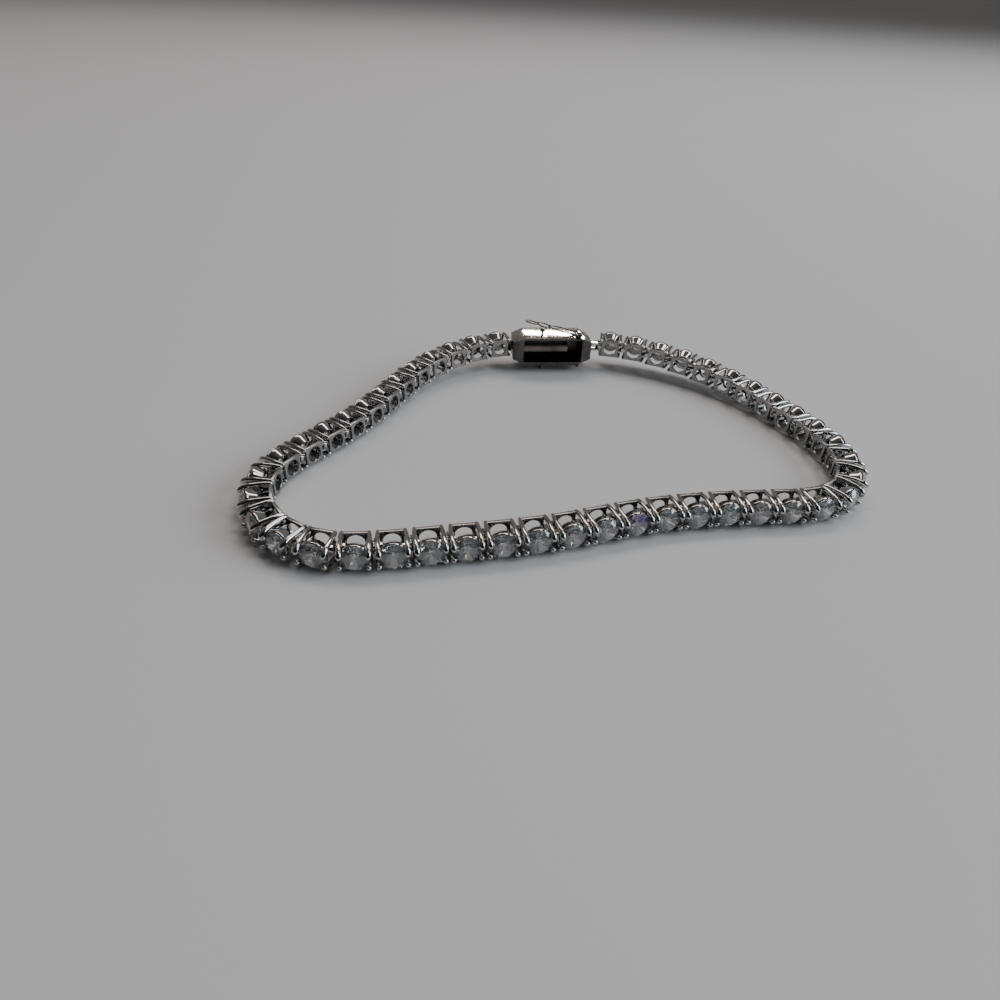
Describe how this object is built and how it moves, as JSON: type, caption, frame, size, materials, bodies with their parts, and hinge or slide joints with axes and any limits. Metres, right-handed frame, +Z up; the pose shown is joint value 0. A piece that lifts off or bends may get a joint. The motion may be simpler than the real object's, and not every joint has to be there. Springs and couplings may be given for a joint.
{
  "type": "tennis bracelet",
  "caption": "Flexible bracelet of round clear stones in four-prong metal settings, closed by a box clasp with wire safety latches, lying on its edge as an open loop.",
  "frame": {"origin": "middle of the loop's box, on the surface that it lies on", "axes": "+Z up from the surface, +X along the clasp towards its box end, +Y towards the clasp"},
  "size_m": [0.0722, 0.0483, 0.0076],
  "materials": {
    "polished_metal": "mirror-polished rhodium plate",
    "clasp_metal": "polished rhodium plate with fine wear",
    "latch_wire": "polished wire",
    "stone": "clear round brilliant cubic zirconia"
  },
  "bodies": {
    "chain": {"setting_run_1": "polished_metal", "setting_run_2": "polished_metal", "setting_run_3": "polished_metal", "setting_run_4": "polished_metal", "setting_run_5": "polished_metal", "setting_run_6": "polished_metal", "setting_run_7": "polished_metal", "setting_run_8": "polished_metal", "stone_01": "stone", "stone_02": "stone", "stone_03": "stone", "stone_04": "stone", "stone_05": "stone", "stone_06": "stone", "stone_07": "stone", "stone_08": "stone", "stone_09": "stone", "stone_10": "stone", "stone_11": "stone", "stone_12": "stone", "stone_13": "stone", "stone_14": "stone", "stone_15": "stone", "stone_16": "stone", "stone_17": "stone", "stone_18": "stone", "stone_19": "stone", "stone_20": "stone", "stone_21": "stone", "stone_22": "stone", "stone_23": "stone", "stone_24": "stone", "stone_25": "stone", "stone_26": "stone", "stone_27": "stone", "stone_28": "stone", "stone_29": "stone", "stone_30": "stone", "stone_31": "stone", "stone_32": "stone", "stone_33": "stone", "stone_34": "stone", "stone_35": "stone", "stone_36": "stone", "stone_37": "stone", "stone_38": "stone", "stone_39": "stone", "stone_40": "stone", "stone_41": "stone", "stone_42": "stone", "stone_43": "stone", "stone_44": "stone", "stone_45": "stone", "stone_46": "stone", "clasp_box": "clasp_metal", "clasp_tongue": "clasp_metal"},
    "latch_top": {"safety_latch_top": "latch_wire"},
    "latch_lower": {"safety_latch_lower": "latch_wire"}
  },
  "joints": [
    {"name": "latch_top_hinge", "type": "hinge", "parent": "chain", "child": "latch_top", "pos_m": [0.00642, 0.02053, 0.00544], "axis": [0, 1, 0], "range_deg": [-14, 96]},
    {"name": "latch_lower_hinge", "type": "hinge", "parent": "chain", "child": "latch_lower", "pos_m": [0.00642, 0.02053, 0.00094], "axis": [0, -1, 0], "range_deg": [0, 110]}
  ]
}
